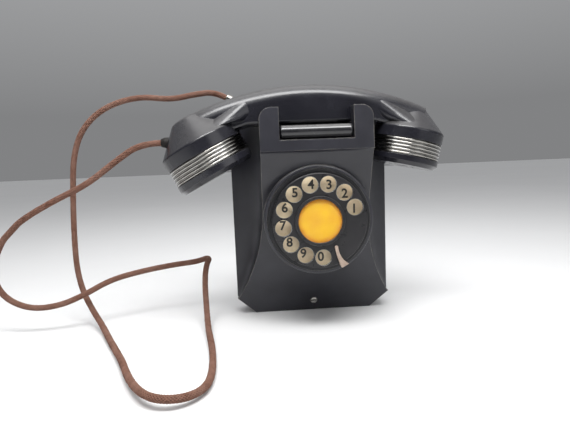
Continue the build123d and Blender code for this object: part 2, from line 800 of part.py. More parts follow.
armature_low = clapper_pivot_z - clapper_ball
armature_high = coil_base - ringer_half * math.sin(math.radians(clapper_swing)) - works_gap
clapper_low = (-ringer_half, clapper_y - clapper_ball, armature_low)
clapper = box_between(clapper_low, (ringer_half, clapper_y + clapper_ball, armature_high))
clapper += rod((0, clapper_y, armature_low), (0, clapper_y, gong_z), clapper_rod)
clapper += Pos(0, clapper_y, gong_z) * Sphere(clapper_ball)
clapper -= rod((0, pin_front - 1, clapper_pivot_z), (0, case_rear, clapper_pivot_z), clapper_pin + fit)
save(clapper, "clapper")

# Circuit pieces on the back plate
condenser = Box(*condenser_size)
condenser = fillet(condenser.edges().filter_by(Axis.Z), edge_round)
condenser_y = case_rear - condenser_size[1] / 2
save(Pos(condenser_place[0], condenser_y, condenser_place[1]) * condenser, "condenser")

induction_x, induction_z = induction_place
cheek_half = induction_radius + coil_cheek
induction_y = case_rear - cheek_half
induction_low = induction_z - induction_length / 2
induction_high = induction_z + induction_length / 2
winding = ((induction_x, induction_y, induction_low), (induction_x, induction_y, induction_high))
induction_coil = rod(*winding, induction_radius)
for z in (induction_low, induction_high - coil_cheek):
    low = (induction_x - cheek_half, induction_y - cheek_half, z)
    induction_coil += box_between(low, (induction_x + cheek_half, case_rear, z + coil_cheek))
save(induction_coil, "induction_coil")

bracket_top = pivot_z + arm_width
terminal_free = case_height - wall - bracket_top - terminal_size[2]
terminal_share = terminal_below / (terminal_below + terminal_above)
terminal_z = bracket_top + terminal_free * terminal_share + terminal_size[2] / 2
terminal_front = case_rear - terminal_size[1]
terminal_depth = terminal_size[1] / 2
terminal_block = Pos(0, case_rear - terminal_depth, terminal_z) * Box(*terminal_size)
terminal_plane = Plane(origin=(0, terminal_front, terminal_z), x_dir=(1, 0, 0), z_dir=(0, -1, 0))
terminal_screws = []
for i in range(terminal_count):
    place = Pos((i - (terminal_count - 1) / 2) * terminal_pitch, 0)
    terminal_block -= terminal_plane * place * disc(screw_radius + fit, -terminal_depth, 1)
    screw = screw_head + disc(screw_radius, -terminal_depth, 0)
    terminal_screws.append(terminal_plane * place * screw)
save(terminal_block, "terminal_block")
save(Compound(children=terminal_screws), "terminal_screws")

# Ferrule where the cord enters the case
cord_bore = cord_diameter / 2 - ferrule_bite
cord_ferrule = ring(ferrule_radius, cord_bore, -ferrule_seat, ferrule_length)
cord_ferrule += ring(ferrule_shank, cord_bore, -wall - ferrule_seat, -ferrule_seat)
rim = cord_ferrule.edges().group_by(Axis.Z)[-1].sort_by(SortBy.LENGTH)[-1]
save(ferrule_plane * fillet(rim, ferrule_bite), "cord_ferrule")

# Cord: one braided cord from the handset's bush to the case's ferrule, drawn in two stretches
bush_end = (bush_x - bush_stand - bush_length - clearance, handset_y, bush_z)
ferrule_end = tuple(ferrule_plane.from_local_coords((0, 0, ferrule_length)))
cord_joint = (-248, -3, 89.5)
handset_route = [
    bush_end,
    (-138.5, handset_y, bush_z),
    (-158, -9, 143),
    (-182, -10, 125),
    (-209, -9, 113.5),
    (-238, -5, 98.5),
    cord_joint,
]
case_route = [
    cord_joint,
    (-258, -1, 80.5),
    (-270, 2, 56),
    (-264, 3, 34),
    (-243, 3, 22),
    (-219, 5, 23),
    (-199.5, 9, 30),
    (-180, 19, 39.5),
    (-156, 29, 43.5),
    (-128, 36, 46.5),
    (-106, 40, 47.5),
    (-93, 35, 52.5),
    (-96, 22, 47),
    (-97, 14, 33),
    (-95.5, 4, 13.5),
    (-92, -22, 4),
    (-85, -60, 3.2),
    (-81.5, -97, 3.2),
    (-83.5, -119, 4),
    (-92.5, -131, 5),
    (-106, -135, 6.5),
    (-119, -128, 7),
    (-133, -105, 5.5),
    (-147, -71, 4),
    (-166, -34, 3.2),
    (-182, -2, 5),
    (-197, 17, 15),
    (-207.5, 27, 30),
    (-213.5, 34, 50),
    (-214, 37, 82),
    (-212, 38, 119),
    (-209, 39, 150),
    (-199, 39, 174),
    (-178, 39, 191.5),
    (-148, 39, 199.5),
    (-120, 38, 195.5),
    (-98, 37, 199.5),
    (-80.5, 37, 201),
    ferrule_end,
]
cord_tangent = 0.45


def cord_tube(route, name):
    """A round tube of straight runs and tangent arcs along a route."""
    points = [Vector(*point) for point in route]
    radii = []
    for before, here, after in zip(points, points[1:], points[2:]):
        turn = math.radians((here - before).get_angle(after - here))
        reach = cord_tangent * min((here - before).length, (after - here).length)
        radii.append(reach / math.tan(turn / 2))
    line = FilletPolyline(*points, radius=radii)
    section = Plane(origin=line @ 0, z_dir=line % 0) * Circle(cord_diameter / 2)
    tube = sweep(section, path=line)
    plain = math.pi * cord_diameter ** 2 / 4 * line.length
    print(name, "length", round(line.length), "volume share", round(tube.volume / plain, 3))
    print("radii", [round(radius) for radius in radii])
    save(tube, name)


cord_tube(handset_route, "handset_cord")
cord_tube(case_route, "case_cord")
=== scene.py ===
"""Dresses the wall telephone's CAD frame: finishes, dial digits, braided cord, stage, light and camera."""
import logging
import math
from dataclasses import dataclass, field
from enum import Enum

import bpy
from mathutils import Matrix, Vector


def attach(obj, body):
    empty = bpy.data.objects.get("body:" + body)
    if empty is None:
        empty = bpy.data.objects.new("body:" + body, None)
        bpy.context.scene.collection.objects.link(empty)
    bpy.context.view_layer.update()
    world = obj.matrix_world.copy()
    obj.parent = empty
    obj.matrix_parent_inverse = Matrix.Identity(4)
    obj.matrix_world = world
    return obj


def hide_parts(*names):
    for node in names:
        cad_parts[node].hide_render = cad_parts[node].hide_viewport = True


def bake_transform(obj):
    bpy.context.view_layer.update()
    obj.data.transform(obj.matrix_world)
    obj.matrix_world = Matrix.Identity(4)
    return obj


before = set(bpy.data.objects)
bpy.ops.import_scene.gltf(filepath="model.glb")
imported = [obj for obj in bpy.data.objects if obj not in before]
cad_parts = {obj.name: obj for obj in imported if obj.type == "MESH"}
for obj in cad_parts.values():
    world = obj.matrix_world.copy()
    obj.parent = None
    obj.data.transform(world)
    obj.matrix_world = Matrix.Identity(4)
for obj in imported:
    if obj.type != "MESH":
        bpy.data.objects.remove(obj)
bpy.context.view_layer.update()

LOG = logging.getLogger("telephone")
MM = 0.001
REAR_Y = 48.0
MOUNT_Z = 95.0

Colour = tuple[float, float, float]
Point = tuple[float, float, float]


def row(x: float, y: float, z: float) -> Vector:
    """Turns a point measured from the case's bottom edge, in millimetres, into the row frame.

    Args:
        x: Millimetres to the viewer's right.
        y: Millimetres away from the viewer.
        z: Millimetres above the case's bottom edge.

    Returns:
        The point in metres.
    """
    return Vector((x, y - REAR_Y, z - MOUNT_Z)) * MM


def link(piece: bpy.types.Object) -> bpy.types.Object:
    """Links an object to the scene and returns it."""
    bpy.context.scene.collection.objects.link(piece)
    return piece


def take_mesh(host: bpy.types.Object) -> bpy.types.Mesh:
    """Reads the finished mesh off a helper object and removes the helper.

    Args:
        host: A text, curve or modified mesh object.

    Returns:
        The plain mesh.
    """
    shape = host.evaluated_get(bpy.context.evaluated_depsgraph_get())
    mesh = bpy.data.meshes.new_from_object(shape)
    bpy.data.objects.remove(host)
    return mesh


class Wiring:
    """Adds and links the nodes of one tree."""

    def __init__(self, tree: bpy.types.NodeTree) -> None:
        """Keeps the tree that the nodes go into."""
        self.tree = tree

    def add(self, kind: str, inputs: dict | None = None, **settings: object) -> bpy.types.Node:
        """Adds one node.

        Args:
            kind: The node's type name.
            inputs: Socket names or numbers, each with a value or a socket to link from.
            settings: Properties of the node.

        Returns:
            The new node.
        """
        node = self.tree.nodes.new(kind)
        for name, value in settings.items():
            setattr(node, name, value)
        for key, value in (inputs or {}).items():
            self.feed(node.inputs[key], value)
        return node

    def feed(self, socket: bpy.types.NodeSocket, value: object) -> None:
        """Links a socket to another one, or sets its value."""
        if isinstance(value, bpy.types.NodeSocket):
            self.tree.links.new(value, socket)
        elif isinstance(value, tuple) and len(value) == 3 and socket.type == "RGBA":
            socket.default_value = (*value, 1.0)
        else:
            socket.default_value = value

    def math(self, operation: str, *values: object) -> bpy.types.NodeSocket:
        """Adds a Math node and returns its output."""
        node = self.add("ShaderNodeMath", dict(enumerate(values)), operation=operation)
        return node.outputs[0]

    def span(self, value: object, low: float, high: float, start: float = 0.0, end: float = 1.0) -> bpy.types.NodeSocket:
        """Maps a value from low..high to start..end, clamped, and returns the output."""
        inputs = {"Value": value, "From Min": low, "From Max": high, "To Min": start, "To Max": end}
        return self.add("ShaderNodeMapRange", inputs).outputs["Result"]

    def noise(self, scale: object, detail: float, roughness: float = 0.5) -> bpy.types.NodeSocket:
        """Adds noise in the object's own coordinates and returns its value."""
        place = self.add("ShaderNodeTexCoord").outputs["Object"]
        inputs = {"Vector": place, "Scale": scale, "Detail": detail, "Roughness": roughness}
        return self.add("ShaderNodeTexNoise", inputs).outputs[0]

    def mix(self, factor: object, first: object, second: object) -> bpy.types.NodeSocket:
        """Mixes two colours and returns the result."""
        node = self.add("ShaderNodeMix", data_type="RGBA")
        for key, value in (("Factor_Float", factor), ("A_Color", first), ("B_Color", second)):
            socket = next(s for s in node.inputs if s.identifier == key)
            self.feed(socket, value)
        return next(s for s in node.outputs if s.identifier == "Result_Color")


class SharedEffects:
    """The shader node groups that more than one finish uses."""

    def __init__(self) -> None:
        """Builds each group once."""
        self.edge_wear = self._edge_wear()
        self.mottle = self._mottle()
        self.scratches = self._scratches()
        self.settled_dust_and_top_sheen = self._settled_dust_and_top_sheen()
        self.crevice_grime_and_shade = self._crevice_grime_and_shade()

    @staticmethod
    def _new(name: str, inputs: dict[str, float], output: str) -> tuple[Wiring, dict, bpy.types.Node]:
        """Starts a group with float inputs and one float output.

        Args:
            name: The group's name.
            inputs: Input names with their default values.
            output: The output's name.

        Returns:
            The group's wiring, its input sockets by name, and its output node.
        """
        tree = bpy.data.node_groups.new(name, "ShaderNodeTree")
        for key, value in inputs.items():
            socket = tree.interface.new_socket(key, in_out="INPUT", socket_type="NodeSocketFloat")
            socket.default_value = value
        tree.interface.new_socket(output, in_out="OUTPUT", socket_type="NodeSocketFloat")
        wiring = Wiring(tree)
        start = wiring.add("NodeGroupInput")
        return wiring, {s.name: s for s in start.outputs}, wiring.add("NodeGroupOutput")

    def _edge_wear(self) -> bpy.types.NodeTree:
        """Mask of rubbed edges: where the rounded normal leaves the flat one, broken up by noise."""
        wiring, given, end = self._new("edge_wear", {"Radius": 0.001, "Breakup": 90.0, "Reach": 0.5}, "Mask")
        rounded = wiring.add("ShaderNodeBevel", {"Radius": given["Radius"]}, samples=6)
        plain = wiring.add("ShaderNodeNewGeometry")
        dot = wiring.add("ShaderNodeVectorMath", {0: rounded.outputs[0], 1: plain.outputs["Normal"]}, operation="DOT_PRODUCT")
        turned = wiring.math("SUBTRACT", 1.0, dot.outputs["Value"])
        noise = wiring.noise(given["Breakup"], 6.0)
        broken = wiring.math("MULTIPLY", turned, wiring.span(noise, 0.35, 0.7, 0.2, 1.6))
        wiring.feed(end.inputs[0], wiring.span(broken, 0.03, given["Reach"]))
        return wiring.tree

    def _mottle(self) -> bpy.types.NodeTree:
        """Cloudy value between 0 and 1, for uneven colour and gloss."""
        wiring, given, end = self._new("mottle", {"Scale": 40.0}, "Value")
        noise = wiring.noise(given["Scale"], 8.0, 0.6)
        wiring.feed(end.inputs[0], wiring.span(noise, 0.35, 0.65))
        return wiring.tree

    def _scratches(self) -> bpy.types.NodeTree:
        """Mask of fine crossing hairlines from stretched noise."""
        wiring, given, end = self._new("scratches", {"Scale": 60.0, "Amount": 0.5}, "Mask")
        place = wiring.add("ShaderNodeTexCoord").outputs["Object"]
        lines = []
        for turn, stretch in ((0.5, (1.0, 14.0, 6.0)), (-0.9, (9.0, 1.0, 16.0))):
            lay = wiring.add("ShaderNodeMapping", {"Vector": place, "Rotation": (turn, turn * 0.6, turn), "Scale": stretch})
            noise = wiring.add("ShaderNodeTexNoise", {"Vector": lay.outputs[0], "Scale": given["Scale"], "Detail": 3.0})
            lines.append(wiring.span(noise.outputs[0], 0.66, 0.72))
        both = wiring.math("MAXIMUM", lines[0], lines[1])
        wiring.feed(end.inputs[0], wiring.math("MULTIPLY", both, given["Amount"]))
        return wiring.tree

    def _settled_dust_and_top_sheen(self) -> bpy.types.NodeTree:
        """Mask of settled dust on upward faces, which also paints them lighter as a sheen from the light above: partly
        dust, partly painted highlight.
        """
        wiring, given, end = self._new("settled_dust_and_top_sheen", {"Scale": 220.0, "Amount": 0.3}, "Mask")
        normal = wiring.add("ShaderNodeNewGeometry").outputs["Normal"]
        up = wiring.add("ShaderNodeSeparateXYZ", {0: normal}).outputs["Z"]
        noise = wiring.noise(given["Scale"], 6.0)
        level = wiring.math("MULTIPLY", wiring.span(up, 0.35, 1.0), wiring.span(noise, 0.3, 0.7, 0.7, 1.0))
        wiring.feed(end.inputs[0], wiring.math("MULTIPLY", level, given["Amount"]))
        return wiring.tree

    def _crevice_grime_and_shade(self) -> bpy.types.NodeTree:
        """Mask that darkens grooves and inner corners by ambient occlusion: painted shade, with some grime."""
        wiring, given, end = self._new("crevice_grime_and_shade", {"Reach": 0.0015, "Breakup": 150.0}, "Mask")
        hollow = wiring.add("ShaderNodeAmbientOcclusion", {"Distance": given["Reach"]}, samples=6)
        noise = wiring.noise(given["Breakup"], 4.0)
        depth = wiring.span(hollow.outputs["AO"], 0.95, 0.45)
        wiring.feed(end.inputs[0], wiring.math("MULTIPLY", depth, wiring.span(noise, 0.3, 0.6, 0.5, 1.0)))
        return wiring.tree


EFFECTS = SharedEffects()


@dataclass(frozen=True)
class Finish:
    """One finish: a Principled surface whose colour and gloss vary over the piece."""

    name: str
    colour: Colour
    shade: Colour
    roughness: tuple[float, float] = (0.3, 0.45)
    metallic: float = 0.0
    specular: float = 0.5
    coat: float = 0.0
    cloud: float = 40.0
    wear_colour: Colour = (0.2, 0.2, 0.21)
    wear_radius: float = 0.0009
    wear: float = 0.0
    wear_reach: float = 0.5
    scratch: float = 0.0
    # Lightens upward faces: settled dust together with a painted top sheen.
    dust_and_sheen: float = 0.0
    # Darkens hollows by ambient occlusion: painted shade, with some grime.
    grime_and_shade: float = 0.0
    grime_and_shade_colour: Colour = (0.02, 0.018, 0.016)
    grain: float = 0.0
    grain_scale: float = 900.0

    def material(self) -> bpy.types.Material:
        """Builds the node material.

        Returns:
            The material, made once for each finish.
        """
        ready = bpy.data.materials.get(self.name)
        if ready:
            return ready
        material = bpy.data.materials.new(self.name)
        material.use_nodes = True
        wiring = Wiring(material.node_tree)
        wiring.tree.nodes.clear()
        shader = wiring.add("ShaderNodeBsdfPrincipled")
        out = wiring.add("ShaderNodeOutputMaterial", {"Surface": shader.outputs[0]})
        out.is_active_output = True
        shader.inputs["Metallic"].default_value = self.metallic
        shader.inputs["Specular IOR Level"].default_value = self.specular
        shader.inputs["Coat Weight"].default_value = self.coat
        shader.inputs["Coat Roughness"].default_value = 0.12
        self.wire(wiring, shader)
        return material

    def group(self, wiring: Wiring, tree: bpy.types.NodeTree, **inputs: float) -> bpy.types.NodeSocket:
        """Places a shared effect with this finish's own values and returns its output."""
        node = wiring.add("ShaderNodeGroup", node_tree=tree)
        for name, value in inputs.items():
            node.inputs[name].default_value = value
        return node.outputs[0]

    def base(self, wiring: Wiring) -> bpy.types.NodeSocket:
        """Colour before wear, the painted shade in hollows, and the dust with its painted top sheen."""
        cloud = self.group(wiring, EFFECTS.mottle, Scale=self.cloud)
        return wiring.mix(cloud, self.colour, self.shade)

    def wire(self, wiring: Wiring, shader: bpy.types.Node) -> None:
        """Wires colour, gloss and fine relief into the shader."""
        colour = self.base(wiring)
        gloss = self.group(wiring, EFFECTS.mottle, Scale=self.cloud * 2.3)
        rough = wiring.span(gloss, 0.0, 1.0, *self.roughness)
        if self.wear > 0:
            mask = self.group(wiring, EFFECTS.edge_wear, Radius=self.wear_radius, Reach=self.wear_reach)
            mask = wiring.math("MULTIPLY", mask, self.wear)
            colour = wiring.mix(mask, colour, self.wear_colour)
        # Hollows darkened by ambient occlusion: painted shade, with some grime.
        if self.grime_and_shade > 0:
            dirt_and_shade = self.group(wiring, EFFECTS.crevice_grime_and_shade)
            dirt_and_shade = wiring.math("MULTIPLY", dirt_and_shade, self.grime_and_shade)
            colour = wiring.mix(dirt_and_shade, colour, self.grime_and_shade_colour)
            rough = wiring.math("ADD", rough, wiring.math("MULTIPLY", dirt_and_shade, 0.3))
        if self.scratch > 0:
            lines = self.group(wiring, EFFECTS.scratches, Amount=self.scratch)
            rough = wiring.math("ADD", rough, lines)
        # Upward faces lightened: settled dust together with a painted highlight on the tops.
        if self.dust_and_sheen > 0:
            dust_and_sheen = self.group(wiring, EFFECTS.settled_dust_and_top_sheen, Amount=self.dust_and_sheen)
            colour = wiring.mix(dust_and_sheen, colour, (0.42, 0.40, 0.37))
            rough = wiring.math("ADD", rough, dust_and_sheen)
        wiring.feed(shader.inputs["Base Color"], colour)
        wiring.feed(shader.inputs["Roughness"], rough)
        self.relief(wiring, shader)

    def relief(self, wiring: Wiring, shader: bpy.types.Node) -> None:
        """Rounds the edges in shading and adds fine grain."""
        rounded = wiring.add("ShaderNodeBevel", {"Radius": self.wear_radius * 0.6}, samples=6).outputs[0]
        if self.grain > 0:
            noise = wiring.noise(self.grain_scale, 4.0)
            bump = wiring.add("ShaderNodeBump", {"Strength": self.grain, "Distance": 0.0004, "Height": noise})
            wiring.feed(bump.inputs["Normal"], rounded)
            rounded = bump.outputs[0]
        wiring.feed(shader.inputs["Normal"], rounded)


@dataclass(frozen=True)
class AgedCard(Finish):
    """Card that is browner towards its rim."""

    centre: Point = (0.0, 0.0, 0.0)
    radius: float = 0.0177
    rim_colour: Colour = (0.45, 0.20, 0.05)

    def base(self, wiring: Wiring) -> bpy.types.NodeSocket:
        """Colour by distance from the card's middle, with stains."""
        plain = super().base(wiring)
        place = wiring.add("ShaderNodeTexCoord").outputs["Object"]
        noise = wiring.noise(260.0, 6.0)
        reach = wiring.add("ShaderNodeVectorMath", {0: place, 1: self.centre}, operation="DISTANCE").outputs["Value"]
        uneven = wiring.math("ADD", reach, wiring.math("MULTIPLY", wiring.math("SUBTRACT", noise, 0.5), 0.004))
        return wiring.mix(wiring.span(uneven, self.radius * 0.74, self.radius), plain, self.rim_colour)


@dataclass(frozen=True)
class ClearSheet(Finish):
    """Thin clear sheet over the card: it shows as its gloss and a faint yellowing."""

    cover: float = 0.015

    def wire(self, wiring: Wiring, shader: bpy.types.Node) -> None:
        """Wires a mostly see-through surface with uneven gloss."""
        wiring.feed(shader.inputs["Base Color"], self.base(wiring))
        cloud = self.group(wiring, EFFECTS.mottle, Scale=self.cloud)
        wiring.feed(shader.inputs["Roughness"], wiring.span(cloud, 0.0, 1.0, *self.roughness))
        wiring.feed(shader.inputs["Alpha"], wiring.span(cloud, 0.0, 1.0, self.cover, 2 * self.cover))


@dataclass(frozen=True)
class Braid(Finish):
    """Cotton braid: each strand has its own tone, stored with the mesh."""

    tone: str = "tone"

    def base(self, wiring: Wiring) -> bpy.types.NodeSocket:
        """Colour by strand, with faded stretches."""
        tone = wiring.add("ShaderNodeAttribute", attribute_name=self.tone).outputs["Fac"]
        colour = wiring.mix(tone, self.shade, self.colour)
        cloud = self.group(wiring, EFFECTS.mottle, Scale=self.cloud)
        return wiring.mix(wiring.math("MULTIPLY", cloud, 0.6), colour, self.wear_colour)


class Look(Enum):
    """The finishes of the set."""

    CASE = Finish("case_bakelite", (0.017, 0.017, 0.022), (0.025, 0.025, 0.032), (0.29, 0.37), specular=0.5, wear=0.8,
                  wear_colour=(0.34, 0.32, 0.28), wear_radius=0.0010, wear_reach=0.36, scratch=0.05, dust_and_sheen=0.14, grain=0.03)
    # The handset's dust stands in for the broad highlight on the grip's top: painted highlight, with a little real
    # dust.
    HANDSET = Finish("handset_bakelite", (0.008, 0.008, 0.012), (0.015, 0.015, 0.020), (0.21, 0.25), specular=0.55, wear=0.3,
                     wear_colour=(0.24, 0.24, 0.24), scratch=0.03, dust_and_sheen=0.15, grain=0.02)
    HOOK = Finish("hook_bakelite", (0.010, 0.010, 0.012), (0.020, 0.020, 0.022), (0.14, 0.24), coat=0.4, wear=0.5,
                  wear_colour=(0.30, 0.29, 0.27), dust_and_sheen=0.16, grain=0.02)
    DIAL_BLACK = Finish("dial_enamel_black", (0.010, 0.010, 0.011), (0.020, 0.019, 0.021), (0.24, 0.42), specular=0.35,
                        wear=1.0, wear_colour=(0.55, 0.54, 0.51), wear_radius=0.0007, wear_reach=0.22, scratch=0.12,
                        dust_and_sheen=0.05, grain=0.05)
    # The plate's brown in the hollows round the finger holes is painted shade, with some grime.
    PLATE = Finish("number_plate_enamel", (0.80, 0.67, 0.46), (0.58, 0.45, 0.29), (0.25, 0.4), cloud=70.0, grime_and_shade=0.8,
                   grime_and_shade_colour=(0.22, 0.14, 0.07), grain=0.03)
    CUP = Finish("cup_enamel_black", (0.009, 0.009, 0.010), (0.016, 0.016, 0.018), (0.3, 0.42), specular=0.35, wear=0.5,
                 wear_colour=(0.10, 0.10, 0.10), wear_radius=0.0006, wear_reach=0.4, dust_and_sheen=0.03, grain=0.03)
    INK = Finish("digit_ink", (0.012, 0.011, 0.010), (0.03, 0.028, 0.025), (0.4, 0.55), cloud=300.0)
    CARD = AgedCard("dial_card", (0.73, 0.425, 0.008), (0.67, 0.345, 0.008), (0.6, 0.75), specular=0.06, cloud=70.0, grain=0.05,
                    rim_colour=(0.55, 0.18, 0.015), centre=tuple(row(0, -37.8, 90.8)))
    SHEET = ClearSheet("clear_sheet", (0.90, 0.86, 0.74), (0.85, 0.80, 0.66), (0.08, 0.2), cloud=80.0)
    # The near-black in the bands' beaded grooves is painted shade.
    NICKEL = Finish("bright_nickel", (0.40, 0.395, 0.38), (0.30, 0.285, 0.26), (0.06, 0.16), metallic=1.0, cloud=120.0,
                    grime_and_shade=0.95, grime_and_shade_colour=(0.012, 0.011, 0.010), scratch=0.06)
    STOP = Finish("worn_stop", (0.42, 0.325, 0.265), (0.30, 0.22, 0.17), (0.34, 0.5), metallic=0.1, cloud=200.0,
                  wear=0.7, wear_colour=(0.55, 0.48, 0.42), wear_radius=0.0004, wear_reach=0.3, scratch=0.1)
    STEEL = Finish("plain_steel", (0.36, 0.36, 0.37), (0.26, 0.25, 0.24), (0.32, 0.5), metallic=1.0, wear=0.4, scratch=0.1)
    BRASS = Finish("works_brass", (0.55, 0.40, 0.17), (0.42, 0.29, 0.12), (0.25, 0.4), metallic=1.0, wear=0.4)
    WINDING = Finish("winding_cotton", (0.22, 0.08, 0.05), (0.14, 0.05, 0.03), (0.6, 0.8), grain=0.4, grain_scale=500.0)
    SHEET_BROWN = Finish("brown_sheet", (0.10, 0.05, 0.03), (0.06, 0.03, 0.02), (0.4, 0.6), grain=0.2)
    RUBBER = Finish("dark_rubber", (0.014, 0.011, 0.010), (0.009, 0.008, 0.007), (0.5, 0.7), specular=0.25, cloud=150.0, grain=0.1)
    BRAID = Braid("brown_braid", (0.215, 0.104, 0.072), (0.085, 0.040, 0.028), (0.7, 0.9), specular=0.2, cloud=90.0,
                  wear_colour=(0.27, 0.157, 0.12), grain=0.2, grain_scale=3000.0)


NODE_LOOKS: dict[Look, tuple[str, ...]] = {
    Look.CASE: ("case_shell",),
    Look.HANDSET: ("handset_grip", "mouthpiece_cap", "earpiece_cap"),
    Look.HOOK: ("hook_lever",),
    Look.DIAL_BLACK: ("finger_wheel", "wheel_hub", "card_ring"),
    Look.CUP: ("dial_cup",),
    Look.PLATE: ("number_plate",),
    Look.CARD: ("number_card",),
    Look.SHEET: ("card_window",),
    Look.NICKEL: ("mouthpiece_band", "earpiece_band", "foot_screw", "cord_ferrule"),
    Look.STOP: ("finger_stop",),
    Look.STEEL: ("back_plate", "foot_bracket", "dial_shaft", "spring_barrel", "works_bridge", "hook_bracket", "hook_pin",
                 "transmitter_capsule", "receiver_capsule", "ringer_frame", "gong_posts", "clapper", "condenser"),
    Look.BRASS: ("main_gear", "governor", "left_gong", "right_gong", "terminal_screws"),
    Look.WINDING: ("ringer_coils", "induction_coil"),
    Look.SHEET_BROWN: ("hook_switch", "terminal_block"),
    Look.RUBBER: ("cord_bush",),
}


def dress_frame() -> None:
    """Gives every CAD node that stays in view its finish."""
    for look, nodes in NODE_LOOKS.items():
        for node in nodes:
            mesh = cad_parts[node].data
            mesh.materials.clear()
            mesh.materials.append(look.value.material())
            LOG.info("dressed %s as %s", node, look.value.name)


@dataclass
class Digits:
    """The ten plain digits on the number plate."""

    centre: Point = (0.0, -32.56, 90.8)
    pitch: float = 28.8
    first: float = 16.4
    step: float = 28.26
    height: float = 7.0
    weight: float = 0.22
    names: str = "1234567890"

    def build(self) -> bpy.types.Object:
        """Makes one flat mesh of the ten upright digits.

        Returns:
            The mesh object, riding on the case.
        """
        parts = []
        for i, name in enumerate(self.names):
            angle = math.radians(self.first + i * self.step)
            curve = bpy.data.curves.new(f"digit_{name}", "FONT")
            curve.body = name
            curve.size = self.height * 1.42 * MM
            curve.align_x = "CENTER"
            curve.offset = self.weight * MM
            curve.extrude = 0.00002
            mesh = take_mesh(link(bpy.data.objects.new(f"digit_{name}", curve)))
            low = min(v.co.y for v in mesh.vertices)
            high = max(v.co.y for v in mesh.vertices)
            x, y, z = self.centre
            place = row(x + self.pitch * math.cos(angle), y, z + self.pitch * math.sin(angle))
            middle = Matrix.Translation((0, -(low + high) / 2, 0))
            mesh.transform(Matrix.Translation(place) @ Matrix.Rotation(math.pi / 2, 4, "X") @ middle)
            parts.append(mesh)
        return self.join(parts)

    def join(self, parts: list[bpy.types.Mesh]) -> bpy.types.Object:
        """Joins the digits' meshes into one piece.

        Args:
            parts: One mesh for each digit, already in place.

        Returns:
            The joined object.
        """
        points, faces = [], []
        for mesh in parts:
            base = len(points)
            points += [v.co.copy() for v in mesh.vertices]
            faces += [[base + i for i in p.vertices] for p in mesh.polygons]
        whole = bpy.data.meshes.new("dial_digits")
        whole.from_pydata(points, [], faces)
        piece = link(bpy.data.objects.new("dial_digits", whole))
        whole.materials.append(Look.INK.value.material())
        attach(piece, "case")
        LOG.info("built %s", piece.name)
        return piece


